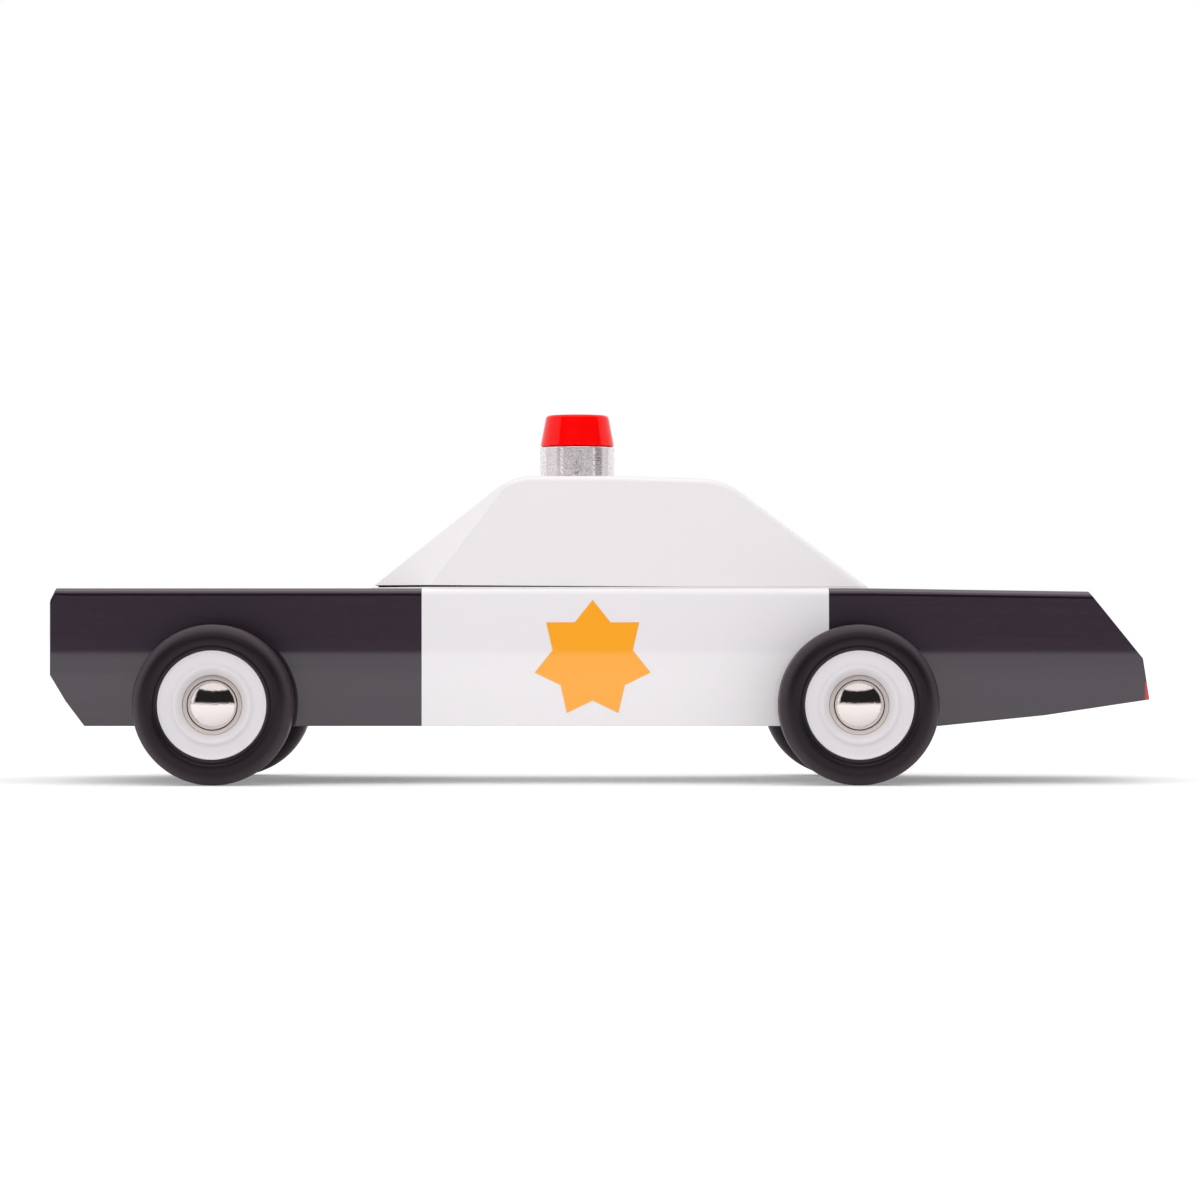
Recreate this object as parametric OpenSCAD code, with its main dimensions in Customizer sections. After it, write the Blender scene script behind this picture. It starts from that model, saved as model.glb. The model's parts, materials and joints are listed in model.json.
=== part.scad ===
// Toy police car: two painted wooden blocks on four rubber-tyred wheels, with a beacon on the roof.
// X runs from the nose (minus) to the tail (plus), Y from the left side (minus) to the right, Z up.
// The origin is on the floor, halfway along the body and on the centre plane.

/* [Body] */
// Length of the body block, nose to tail
body_length = 172.4; // [150:0.2:200]
// Width of the body block
body_width = 48; // [40:1:60]
// Height of the body block, belly to deck
body_height = 21.6; // [19:0.2:28]
// Round-over along the two long top edges
deck_edge_radius = 0.9; // [0.4:0.1:3]
// Length of the slanted cut under the nose
nose_cut_length = 5.4; // [2:0.2:10]
// Height of the slanted cut under the nose
nose_cut_height = 8; // [4:0.1:12]
// Crown of that cut, halfway down
nose_cut_crown = 0.25; // [0.05:0.05:0.6]
// Round-over of the nose's top edge
nose_edge_radius = 1.6; // [0.4:0.1:3]
// Length of the tail slope, measured along the car
tail_slope_length = 9.5; // [5:0.1:14]
// Height of the tail slope's foot above the belly
tail_foot_height = 10.6; // [8:0.2:14]
// How far the tail's lower edge stands out past the slope's foot
tail_lean = 1; // [0.2:0.1:2]
// Rise of the underside towards the tail
tail_rise = 4.2; // [2:0.1:6]
// Length of the rising underside
tail_rise_length = 34; // [20:1:40]
// Crown of the rising underside, halfway along
tail_rise_crown = 0.3; // [0.05:0.05:0.8]
// Fall of the trunk lid from the cabin to the tail slope
trunk_drop = 0.5; // [0.1:0.1:2]
// Round-over of the tail's edges
tail_edge_radius = 0.6; // [0.2:0.1:1.5]

/* [Cabin] */
// Distance from the nose to the foot of the windscreen
cabin_start = 49.8; // [40:0.2:60]
// Length of the cabin along the deck
cabin_length = 78.8; // [66:0.2:90]
// Width of the cabin
cabin_width = 46; // [34:1:48]
// Height of the cabin above the deck
cabin_height = 17.7; // [14:0.1:24]
// Length of the windscreen's slope, measured along the car
windscreen_run = 22.7; // [16:0.1:26]
// Length of the rear window's slope, measured along the car
rear_window_run = 23; // [16:0.1:28]
// Fall of the roof from the beacon to its rear edge
roof_drop = 0.5; // [0.1:0.1:1.5]
// Round-over where the roof meets the windscreen and the rear window
roof_end_radius = 8.5; // [1:0.5:12]
// Round-over along the roof's two sides
roof_edge_radius = 1.3; // [0.4:0.1:3]
// Length of the windscreen's corner facet along the deck
facet_length = 9.4; // [4:0.1:12]
// Width of the windscreen's corner facet across the deck
facet_width = 9; // [4:0.5:14]
// Length of the windscreen's corner facet along the roof
facet_roof_length = 0.2; // [0.1:0.1:3]
// Diameter of the two dowels that join the cabin to the body
dowel_diameter = 6; // [4:0.5:8]
// Length of each dowel
dowel_length = 16; // [10:1:20]
// Distance of each dowel from the nearer end of the cabin
dowel_inset = 19; // [17:0.5:24]

/* [Beacon] */
// Distance from the foot of the windscreen to the beacon's axis
beacon_start = 32.9; // [30:0.1:37]
// Diameter of the metal base
beacon_diameter = 12; // [10:0.5:16]
// Height of the metal base
beacon_base_height = 5.4; // [4.6:0.1:8]
// Chamfer of the base's top edge
beacon_base_chamfer = 0.3; // [0.1:0.1:0.6]
// Diameter of the lens at its foot
lens_diameter = 11.9; // [9:0.1:14]
// Diameter of the lens at its top
lens_top_diameter = 10; // [7:0.1:12]
// Height of the lens above the base
lens_height = 5.1; // [3:0.1:9]
// Round-over of the lens's top edge
lens_edge_radius = 0.5; // [0.2:0.1:1.5]
// Diameter of the socket that takes the lens
socket_diameter = 7; // [6.2:0.1:8]
// Depth of that socket
socket_depth = 3.4; // [2.6:0.1:4]
// Length of the lens's spigot in the socket
spigot_length = 2; // [0.8:0.1:2.1]
// Diameter of the screw that holds the base
screw_diameter = 2.5; // [2:0.1:3]
// Length of that screw under its head
screw_length = 12; // [8:0.5:14]
// Diameter of the screw's head
screw_head_diameter = 5.6; // [4.5:0.1:6]
// Height of the screw's head
screw_head_height = 1.2; // [0.8:0.1:1.3]

/* [Wheels] */
// Diameter over the tyre
wheel_diameter = 25; // [22:0.5:30]
// Width of the tyre
tyre_width = 9; // [8:0.5:12]
// Gap between the body's side and the tyre
tyre_gap = 1.5; // [1.1:0.1:4]
// Round-over of the tyre's shoulders
tyre_shoulder_radius = 1.9; // [0.5:0.1:2.4]
// Round-over of the tyre's inner lips
tyre_lip_radius = 0.5; // [0.2:0.1:0.8]
// Diameter of the hub in the tyre
hub_diameter = 17; // [15:0.2:18]
// Setback of the hub's rim from the tyre's faces
rim_setback = 0.8; // [0.2:0.1:1.2]
// Wall of the hub's rim
rim_wall = 1.7; // [1.2:0.1:2.2]
// Width of the bead that keeps the tyre on the hub
bead_width = 3; // [2:0.2:4]
// Depth of that bead
bead_depth = 0.7; // [0.3:0.1:0.9]
// Fall of the hub's dished face from its rim to the raised ring
face_fall = 0.4; // [0.1:0.05:0.6]
// Diameter of the raised ring's crest
ring_diameter = 11.8; // [11:0.1:12.6]
// Height of the raised ring over the dished face
ring_rise = 0.2; // [0.1:0.05:0.4]
// Width of the raised ring's outer flank
ring_flank = 0.6; // [0.3:0.1:1]
// Fall from the raised ring's crest to the edge of the well
funnel_fall = 0.9; // [0.5:0.1:1.2]
// Diameter of the hub's central well
well_diameter = 9.8; // [9.6:0.1:10.4]
// Depth of the well below the rim
well_depth = 1.9; // [1.6:0.1:3.2]
// Thickness of the hub's web
hub_web = 2; // [1.2:0.1:2.8]
// Diameter of the hub's boss
hub_boss_diameter = 6.4; // [5:0.2:8]

/* [Axles] */
// Distance from the nose to the front axle
front_axle_start = 26; // [18:0.2:36]
// Distance from the tail to the rear axle
rear_axle_start = 46; // [36:0.2:56]
// Height of the axles above the belly
axle_height = 3.4; // [3:0.1:8]
// Diameter of the axles
axle_diameter = 3; // [2:0.1:3.2]
// Outer diameter of the bushes
bush_diameter = 4.5; // [4.2:0.1:5]
// Length of the bushes inside the body
bush_length = 8; // [4:0.5:14]
// Diameter of the bushes' flanges
bush_flange_diameter = 6.4; // [5.6:0.1:6.8]
// Thickness of the bushes' flanges
bush_flange = 0.8; // [0.4:0.1:1]
// Diameter of the axle caps' domes
cap_diameter = 7.6; // [6.6:0.1:8.4]
// Height of the axle caps' domes
cap_dome_height = 1.5; // [1.3:0.1:2.6]
// Diameter of the axle caps' brims
cap_brim_diameter = 9.2; // [8.6:0.1:9.4]
// Thickness of the axle caps' brims
cap_brim = 0.5; // [0.3:0.1:0.8]
// Length of axle inside each cap
axle_grip = 1.3; // [1:0.1:1.5]

/* [Fits] */
// Radial clearance of an axle in a bush or a hub
running_clearance = 0.05; // [0.02:0.01:0.1]
// Clearance between pieces that are pressed or glued together
fit_clearance = 0.02; // [0.01:0.01:0.04]
// Free play of a wheel along its axle, at each end of the hub
end_play = 0.3; // [0.2:0.05:0.5]
// Glue room at the end of a dowel or under the lens
glue_room = 0.2; // [0.1:0.05:0.3]

/* [Hidden] */
$fn = 96;
// How far a cut runs past the face that it leaves
overrun = 1;
// Straight steps in each rounded corner of an outline
corner_steps = 6;
// Most of an outline's edge that one rounded corner may use
corner_limit_share = 0.45;
// Share of the screw's length that tapers to its point
screw_point_share = 0.25;
// Width and depth of the slot in the screw's head, as shares of its diameter and height
screw_slot_shares = [0.2, 0.5];

// Places along the car
nose_x = -body_length / 2;
tail_x = body_length / 2;
front_axle_x = nose_x + front_axle_start;
rear_axle_x = tail_x - rear_axle_start;
cabin_front_x = nose_x + cabin_start;
cabin_rear_x = cabin_front_x + cabin_length;
roof_front_x = cabin_front_x + windscreen_run;
roof_rear_x = cabin_rear_x - rear_window_run;
beacon_x = cabin_front_x + beacon_start;
roof_break_x = beacon_x + beacon_diameter / 2;
dowel_xs = [cabin_front_x + dowel_inset, cabin_rear_x - dowel_inset];

// Heights above the floor
axle_z = wheel_diameter / 2;
belly_z = axle_z - axle_height;
deck_z = belly_z + body_height;
roof_z = deck_z + cabin_height;
lens_z = roof_z + beacon_base_height;
socket_z = lens_z - socket_depth;

// Distances out from the body's side
tyre_in = tyre_gap;
tyre_out = tyre_gap + tyre_width;
rim_in = tyre_in + rim_setback;
rim_out = tyre_out - rim_setback;
bead_in = tyre_gap + (tyre_width - bead_width) / 2;
boss_in = bush_flange + end_play;
well_floor = rim_out - well_depth;
cap_in = well_floor + end_play;
axle_end = cap_in + axle_grip;

// Radii
axle_radius = axle_diameter / 2;
bore_radius = axle_radius + running_clearance;
press_radius = axle_radius + fit_clearance;
bush_radius = bush_diameter / 2;
hub_radius = hub_diameter / 2;
dome_radius = cap_diameter / 2;
socket_radius = socket_diameter / 2 + fit_clearance;
screw_radius = screw_diameter / 2;
screw_hole_radius = screw_radius + fit_clearance;

// Each wheel's place along the car and its side: minus one is left, one is right
front_left = [front_axle_x, -1];
front_right = [front_axle_x, 1];
rear_left = [rear_axle_x, -1];
rear_right = [rear_axle_x, 1];

// Outlines with rounded corners
function unit(v) = v / norm(v);
function corner_half_angle(p, a, b) = acos(unit(a - p) * unit(b - p)) / 2;
function corner_radius(p, a, b, radius) =
    min(radius, corner_limit_share * min(norm(a - p), norm(b - p)) * tan(corner_half_angle(p, a, b)));
function corner_centre(p, a, b, radius) =
    p + unit(unit(a - p) + unit(b - p)) * radius / sin(corner_half_angle(p, a, b));
function heading(v) = atan2(v.y, v.x);
function short_way(angle) = angle > 180 ? angle - 360 : angle < -180 ? angle + 360 : angle;
function corner_arc(centre, radius, from, sweep) = [
    for (k = [0 : corner_steps])
        centre + radius * [cos(from + sweep * k / corner_steps), sin(from + sweep * k / corner_steps)]
];
function soft_corner(p, a, b, wanted) =
    let (radius = corner_radius(p, a, b, wanted))
    let (centre = corner_centre(p, a, b, radius))
    let (reach = radius / tan(corner_half_angle(p, a, b)))
    let (from = heading(p + unit(a - p) * reach - centre))
    let (to = heading(p + unit(b - p) * reach - centre))
    corner_arc(centre, radius, from, short_way(to - from));
function soft_outline(points, radii) =
    let (count = len(points))
    [
        for (i = [0 : count - 1])
            let (before = points[(i + count - 1) % count])
            let (after = points[(i + 1) % count])
            each (radii[i] == 0 ? [points[i]] : soft_corner(points[i], before, after, radii[i]))
    ];

// The middle of an outline's edge, moved out to crown it
function crowned(a, b, crown) = (a + b) / 2 + crown * unit([b.y - a.y, a.x - b.x]);

// A side outline, drawn in X and Z, as a slab across the car
module across(width) {
    rotate([90, 0, 0])
        linear_extrude(width, center = true)
            children();
}

// A cross-section, drawn in Y and Z, as a bar along the car
module along(length) {
    rotate([90, 0, 90])
        linear_extrude(length, center = true)
            children();
}

// A block's cross-section with its two top corners rounded
module block_section(width, bottom, top, radius) {
    corners = [[-width / 2, bottom], [width / 2, bottom], [width / 2, top], [-width / 2, top]];
    polygon(soft_outline(corners, [0, 0, radius, radius]));
}

// Places a piece turned about an axle at a wheel, with the piece's Z pointing out of the car's side
module at_wheel(wheel) {
    translate([wheel[0], wheel[1] * body_width / 2, axle_z])
        rotate([-90 * wheel[1], 0, 0])
            children();
}

// The holes that the dowels need in the body and the cabin
module dowel_holes() {
    depth = dowel_length + 2 * glue_room;
    for (x = dowel_xs)
        translate([x, 0, deck_z])
            cylinder(d = dowel_diameter + 2 * fit_clearance, h = depth, center = true);
}

// Everything in front of one of the windscreen's corner facets
module facet_cut(side) {
    flank = side * cabin_width / 2;
    side_foot = [cabin_front_x + facet_length, flank, deck_z];
    side_top = [roof_front_x + facet_roof_length, flank, roof_z];
    front_foot = [cabin_front_x, flank - side * facet_width, deck_z];
    normal = -side * cross(side_top - side_foot, front_foot - side_foot);
    reach = cabin_length;
    translate(side_foot)
        rotate([0, acos(normal.z / norm(normal)), atan2(normal.y, normal.x)])
            translate([-reach, -reach, 0])
                cube([2 * reach, 2 * reach, reach]);
}

module body_block() {
    chin = [nose_x, belly_z + nose_cut_height];
    chin_foot = [nose_x + nose_cut_length, belly_z];
    rise_start = [tail_x - tail_rise_length, belly_z];
    rise_end = [tail_x, belly_z + tail_rise];
    corners = [
        chin_foot,
        rise_start,
        crowned(rise_start, rise_end, tail_rise_crown),
        rise_end,
        [tail_x - tail_lean, belly_z + tail_foot_height],
        [tail_x - tail_slope_length, deck_z - trunk_drop],
        [cabin_rear_x, deck_z],
        [nose_x, deck_z],
        chin,
        crowned(chin, chin_foot, nose_cut_crown)
    ];
    tail = tail_edge_radius;
    radii = [0, 0, 0, 0, tail, tail, 0, nose_edge_radius, 0, 0];
    color("#352f35")
        difference() {
            intersection() {
                across(body_width)
                    polygon(soft_outline(corners, radii));
                along(body_length + 2 * overrun)
                    block_section(body_width, belly_z - overrun, deck_z, deck_edge_radius);
            }
            for (x = [front_axle_x, rear_axle_x])
                translate([x, 0, axle_z])
                    rotate([90, 0, 0])
                        cylinder(r = bush_radius + fit_clearance, h = body_width + 2 * overrun, center = true);
            dowel_holes();
        }
}

module cabin_block() {
    corners = [
        [cabin_front_x, deck_z],
        [cabin_rear_x, deck_z],
        [roof_rear_x, roof_z - roof_drop],
        [roof_break_x, roof_z],
        [roof_front_x, roof_z]
    ];
    radii = [0, 0, roof_end_radius, 0, roof_end_radius];
    pilot_depth = screw_length - (socket_z - roof_z) + glue_room;
    color("#ebe7e8")
        difference() {
            intersection() {
                across(cabin_width)
                    polygon(soft_outline(corners, radii));
                translate([beacon_x, 0, 0])
                    along(2 * cabin_length)
                        block_section(cabin_width, belly_z, roof_z, roof_edge_radius);
            }
            facet_cut(-1);
            facet_cut(1);
            dowel_holes();
            translate([beacon_x, 0, roof_z - pilot_depth])
                cylinder(r = screw_hole_radius, h = pilot_depth + overrun);
        }
}

module cabin_dowels() {
    color("#c9a877")
        for (x = dowel_xs)
            translate([x, 0, deck_z])
                cylinder(d = dowel_diameter, h = dowel_length, center = true);
}

module beacon_base() {
    radius = beacon_diameter / 2;
    color("#c4c0c8")
        translate([beacon_x, 0, 0])
            rotate_extrude()
                polygon([
                    [screw_hole_radius, roof_z],
                    [radius, roof_z],
                    [radius, lens_z - beacon_base_chamfer],
                    [radius - beacon_base_chamfer, lens_z],
                    [socket_radius, lens_z],
                    [socket_radius, socket_z],
                    [screw_hole_radius, socket_z]
                ]);
}

module beacon_screw() {
    head_radius = screw_head_diameter / 2;
    slot_width = screw_head_diameter * screw_slot_shares[0];
    slot_depth = screw_head_height * screw_slot_shares[1];
    color("#8c8c90")
        translate([beacon_x, 0, socket_z])
            difference() {
                rotate_extrude()
                    polygon([
                        [0, -screw_length],
                        [screw_radius, -screw_length * (1 - screw_point_share)],
                        [screw_radius, 0],
                        [head_radius, 0],
                        [head_radius, screw_head_height],
                        [0, screw_head_height]
                    ]);
                translate([-screw_head_diameter, -slot_width / 2, screw_head_height - slot_depth])
                    cube([2 * screw_head_diameter, slot_width, slot_depth + overrun]);
            }
}

module beacon_lens() {
    corners = [
        [0, -spigot_length],
        [socket_diameter / 2, -spigot_length],
        [socket_diameter / 2, 0],
        [lens_diameter / 2, 0],
        [lens_top_diameter / 2, lens_height],
        [0, lens_height]
    ];
    color("#e81010", 0.8)
        translate([beacon_x, 0, lens_z])
            rotate_extrude()
                polygon(soft_outline(corners, [0, 0, 0, 0, lens_edge_radius, 0]));
}

module axle(x) {
    color("#b4b2b4")
        translate([x, 0, axle_z])
            rotate([90, 0, 0])
                cylinder(r = axle_radius, h = body_width + 2 * axle_end, center = true);
}

module tyre(wheel) {
    bore = hub_radius + fit_clearance;
    corners = [
        [bore, tyre_in],
        [wheel_diameter / 2, tyre_in],
        [wheel_diameter / 2, tyre_out],
        [bore, tyre_out]
    ];
    radii = [tyre_lip_radius, tyre_shoulder_radius, tyre_shoulder_radius, tyre_lip_radius];
    color("#1e1b1e")
        at_wheel(wheel)
            rotate_extrude() {
                polygon(soft_outline(corners, radii));
                translate([bore - bead_depth, bead_in])
                    square([bead_depth + tyre_shoulder_radius, bead_width]);
            }
}

module hub(wheel) {
    rim_radius = hub_radius - rim_wall;
    groove_radius = hub_radius - bead_depth;
    ring_radius = ring_diameter / 2;
    ring_foot = rim_out - face_fall;
    ring_crest = ring_foot + ring_rise;
    color("#e2dde4")
        at_wheel(wheel)
            rotate_extrude()
                polygon([
                    [bore_radius, boss_in],
                    [hub_boss_diameter / 2, boss_in],
                    [hub_boss_diameter / 2, well_floor - hub_web],
                    [rim_radius, well_floor - hub_web],
                    [rim_radius, rim_in],
                    [hub_radius, rim_in],
                    [hub_radius, bead_in - fit_clearance],
                    [groove_radius, bead_in - fit_clearance],
                    [groove_radius, bead_in + bead_width + fit_clearance],
                    [hub_radius, bead_in + bead_width + fit_clearance],
                    [hub_radius, rim_out],
                    [ring_radius + ring_flank, ring_foot],
                    [ring_radius, ring_crest],
                    [well_diameter / 2, ring_crest - funnel_fall],
                    [well_diameter / 2, well_floor],
                    [bore_radius, well_floor]
                ]);
}

module cap(wheel) {
    sphere_radius = (dome_radius * dome_radius + cap_dome_height * cap_dome_height) / (2 * cap_dome_height);
    dome_in = cap_in + cap_brim;
    color("#d8d0cc")
        at_wheel(wheel)
            difference() {
                union() {
                    translate([0, 0, cap_in])
                        cylinder(d = cap_brim_diameter, h = cap_brim);
                    intersection() {
                        translate([0, 0, dome_in + cap_dome_height - sphere_radius])
                            sphere(sphere_radius);
                        translate([0, 0, cap_in])
                            cylinder(r = dome_radius, h = cap_brim + cap_dome_height);
                    }
                }
                translate([0, 0, cap_in - overrun])
                    cylinder(r = press_radius, h = overrun + axle_grip + fit_clearance);
            }
}

module bush(wheel) {
    color("#ece8dc")
        at_wheel(wheel)
            rotate_extrude()
                polygon([
                    [bore_radius, -bush_length],
                    [bush_radius, -bush_length],
                    [bush_radius, 0],
                    [bush_flange_diameter / 2, 0],
                    [bush_flange_diameter / 2, bush_flange],
                    [bore_radius, bush_flange]
                ]);
}

body_block();
cabin_block();
cabin_dowels();
beacon_base();
beacon_screw();
beacon_lens();
axle(front_axle_x);  // front_axle
axle(rear_axle_x);  // rear_axle
tyre(front_left);  // front_left_tyre
tyre(front_right);  // front_right_tyre
tyre(rear_left);  // rear_left_tyre
tyre(rear_right);  // rear_right_tyre
hub(front_left);  // front_left_hub
hub(front_right);  // front_right_hub
hub(rear_left);  // rear_left_hub
hub(rear_right);  // rear_right_hub
cap(front_left);  // front_left_cap
cap(front_right);  // front_right_cap
cap(rear_left);  // rear_left_cap
cap(rear_right);  // rear_right_cap
bush(front_left);  // front_left_bush
bush(front_right);  // front_right_bush
bush(rear_left);  // rear_left_bush
bush(rear_right);  // rear_right_bush
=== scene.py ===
import json
import math
import bpy
import bmesh
from mathutils import Matrix, Vector

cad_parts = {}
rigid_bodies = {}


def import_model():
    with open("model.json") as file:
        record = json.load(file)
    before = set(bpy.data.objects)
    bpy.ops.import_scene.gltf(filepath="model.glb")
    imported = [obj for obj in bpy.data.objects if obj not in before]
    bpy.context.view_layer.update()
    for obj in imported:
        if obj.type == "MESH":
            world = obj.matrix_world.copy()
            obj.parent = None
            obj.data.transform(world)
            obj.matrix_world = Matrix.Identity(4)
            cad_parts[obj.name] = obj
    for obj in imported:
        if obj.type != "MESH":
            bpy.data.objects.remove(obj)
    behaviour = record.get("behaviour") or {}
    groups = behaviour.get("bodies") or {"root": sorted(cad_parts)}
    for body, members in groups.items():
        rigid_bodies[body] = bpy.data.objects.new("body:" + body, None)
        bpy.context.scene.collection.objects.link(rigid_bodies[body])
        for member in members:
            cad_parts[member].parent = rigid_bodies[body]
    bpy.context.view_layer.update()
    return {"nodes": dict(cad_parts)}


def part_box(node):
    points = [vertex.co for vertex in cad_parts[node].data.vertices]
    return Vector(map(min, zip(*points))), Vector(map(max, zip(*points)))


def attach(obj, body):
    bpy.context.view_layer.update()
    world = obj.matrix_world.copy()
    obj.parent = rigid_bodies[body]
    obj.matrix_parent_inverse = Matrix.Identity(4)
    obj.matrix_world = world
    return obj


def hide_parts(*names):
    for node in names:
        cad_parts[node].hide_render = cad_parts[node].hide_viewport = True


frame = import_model()
mm = 0.001  # pieces are drawn in millimetres and scaled at the end
left, right = -1, 1  # the sides of the car, along Y
fullTurn = 2 * math.pi

# how near counts as the same, in millimetres
weldDistance = 0.0005
cutDistance = 1e-5
touch = 0.01
hair = 0.001

for spare in [o for o in bpy.data.objects if o.name in ("Cube", "Light", "Camera")]:
    bpy.data.objects.remove(spare)


# a node's lowest and highest corner in millimetres
def nodeBox(node):
    low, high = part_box(node)
    return low / mm, high / mm


def shade(colour, factor):
    return tuple(c * factor for c in colour[:3]) + (1.0,)


cameraSetup = {
    "place": (-5.8, -847.0, 22.9),
    "turnRight": 0.4038,  # degrees away from square on
    "tiltUp": 0.4147,
    "lens": 157.5,
    "sensor": 36.0,
    "clip": (0.01, 200),  # metres
}


def makeCamera(setup):
    data = bpy.data.cameras.new("sideCamera")
    data.lens = setup["lens"]
    data.sensor_width = setup["sensor"]
    data.clip_start, data.clip_end = setup["clip"]
    camera = bpy.data.objects.new("sideCamera", data)
    camera.location = Vector(setup["place"]) * mm
    tilt, turn = math.radians(90 + setup["tiltUp"]), math.radians(-setup["turnRight"])
    camera.rotation_euler = (tilt, 0, turn)
    bpy.context.scene.collection.objects.link(camera)
    bpy.context.scene.camera = camera


makeCamera(cameraSetup)
print("camera set")


# a shader socket that takes part in sums: each sum adds a Math node
class Wire:
    def __init__(self, sheet, socket):
        self.sheet = sheet
        self.socket = socket

    def math(self, operation, first, second=0.0):
        return self.sheet.node("ShaderNodeMath", {"operation": operation}, {0: first, 1: second})

    def __add__(self, other):
        return self.math("ADD", self, other)

    def __sub__(self, other):
        return self.math("SUBTRACT", self, other)

    def __rsub__(self, other):
        return self.math("SUBTRACT", other, self)

    def __mul__(self, other):
        return self.math("MULTIPLY", self, other)

    def __pow__(self, other):
        return self.math("POWER", self, other)

    def __abs__(self):
        return self.math("ABSOLUTE", self)

    __radd__ = __add__
    __rmul__ = __mul__


# the node sheet of a material or of the world
class Sheet:
    def __init__(self, holder):
        holder.use_nodes = True
        self.tree = holder.node_tree
        self.tree.nodes.clear()

    # settings come first, then the values or links of the sockets
    def node(self, kind, settings=None, inputs=None, out=0):
        made = self.tree.nodes.new(kind)
        for name, value in (settings or {}).items():
            setattr(made, name, value)
        for name, value in (inputs or {}).items():
            if isinstance(value, Wire):
                self.tree.links.new(value.socket, made.inputs[name])
            else:
                made.inputs[name].default_value = value
        return Wire(self, made.outputs[out]) if len(made.outputs) else None

    # place on the piece in metres, stretched by a Mapping node
    def place(self, scale):
        spot = self.node("ShaderNodeTexCoord", out="Object")
        return self.node("ShaderNodeMapping", None, {"Vector": spot, "Scale": scale})

    # a soft random pattern from 0 to 1, its blobs about size millimetres across
    def noise(self, size, detail=2.0, stretch=(1, 1, 1), rough=0.5):
        return self.node("ShaderNodeTexNoise", None, {
            "Vector": self.place(stretch),
            "Scale": 1 / (size * mm),
            "Detail": detail,
            "Roughness": rough,
        })

    # 0 below the low level of a value, 1 above the high one, with a soft step between
    def band(self, value, low, high):
        return self.node("ShaderNodeMapRange", {"interpolation_type": "SMOOTHSTEP"},
                         {"Value": value, "From Min": low, "From Max": high})

    def blend(self, factor, first, second):
        return self.node("ShaderNodeMix", {"data_type": "RGBA"},
                         {0: factor, 6: first, 7: second}, out=2)

    # depth is in millimetres
    def bump(self, height, depth):
        return self.node("ShaderNodeBump", None,
                         {"Height": height, "Distance": depth * mm, "Strength": 1.0})


# distance from the nearer axle's axis, in millimetres, for wheels at both ends
def fromAxle(sheet):
    frontLow, frontHigh = nodeBox("front_axle")
    rearLow, rearHigh = nodeBox("rear_axle")
    front, rear = (frontLow + frontHigh) / 2, (rearLow + rearHigh) / 2
    spot = sheet.node("ShaderNodeTexCoord", out="Object")
    along = sheet.node("ShaderNodeSeparateXYZ", None, {0: spot}, out="X") * (1 / mm)
    up = sheet.node("ShaderNodeSeparateXYZ", None, {0: spot}, out="Z") * (1 / mm)
    offAxle = abs(along - (front.x + rear.x) / 2) - (rear.x - front.x) / 2
    return (offAxle ** 2.0 + (up - front.z) ** 2.0) ** 0.5


# a material whose inputs come from build
def principled(name, build):
    material = bpy.data.materials.new(name)
    sheet = Sheet(material)
    surface = sheet.node("ShaderNodeBsdfPrincipled", None, build(sheet))
    sheet.node("ShaderNodeOutputMaterial", None, {"Surface": surface})
    return material


# lacquer over wood: even colour with faint grain, a wide haze and a clear coat on top
def lacquer(name, colour, drift, grainDepth=0.012, haze=0.3, hazeTint=(1, 1, 1, 1),
            coatBlur=0.02):
    def build(sheet):
        cloud = sheet.noise(28, detail=3)
        grain = sheet.noise(1.6, detail=4, stretch=(0.08, 1, 1), rough=0.6)
        peel = sheet.noise(1.1)
        dark, light = shade(colour, 1 - drift), shade(colour, 1 + drift)
        return {
            "Base Color": sheet.blend(cloud * 0.7 + grain * 0.3, dark, light),
            "Roughness": 0.34 + 0.06 * grain,
            "Specular IOR Level": haze,
            "Specular Tint": hazeTint,
            "Coat Weight": 0.96 + 0.04 * cloud,
            "Coat Roughness": coatBlur,
            "Coat IOR": 1.6,
            "Normal": sheet.bump(grain + 0.4 * peel, grainDepth),
        }
    return principled(name, build)


# rubber: near black, satin, with a fine moulded grain and a lighter band towards the tread, part
# wear and part painted sheen
def rubber(name, colour, tread):
    def build(sheet):
        cloud = sheet.noise(4, detail=3)
        grain = sheet.noise(0.35, detail=3)
        # a lighter band on the shoulder: partly wear, partly painted sheen
        wearAndSheen = sheet.band(fromAxle(sheet), tread - 1.7, tread - 0.4)
        tone = sheet.blend(cloud, shade(colour, 0.82), shade(colour, 1.2))
        return {
            "Base Color": sheet.blend(wearAndSheen * (0.4 + 0.5 * grain), tone, shade(colour, 6.0)),
            "Roughness": 0.3 + 0.1 * cloud + 0.14 * wearAndSheen,
            "Specular IOR Level": 0.28,
            "Specular Tint": (1.0, 0.82, 0.97, 1.0),
            "Normal": sheet.bump(grain, 0.005),
        }
    return principled(name, build)


# moulded plastic: smooth, with slight flow marks
def plastic(name, colour, roughness):
    def build(sheet):
        flow = sheet.noise(6, detail=3)
        grain = sheet.noise(0.5)
        return {
            "Base Color": sheet.blend(flow, shade(colour, 0.97), shade(colour, 1.02)),
            "Roughness": roughness + 0.08 * flow,
            "Normal": sheet.bump(grain, 0.003),
        }
    return principled(name, build)


# bright metal with polishing marks, which stretch can draw out along one direction
def metal(name, colour, roughness, spread, markSize, depth, stretch=(1, 1, 1)):
    def build(sheet):
        cloud = sheet.noise(5, detail=3)
        marks = sheet.noise(markSize, detail=4, stretch=stretch, rough=0.6)
        return {
            "Base Color": sheet.blend(cloud, shade(colour, 0.95), shade(colour, 1.0)),
            "Metallic": 1.0,
            "Roughness": roughness + spread * marks,
            "Normal": sheet.bump(marks, depth),
        }
    return principled(name, build)


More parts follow.
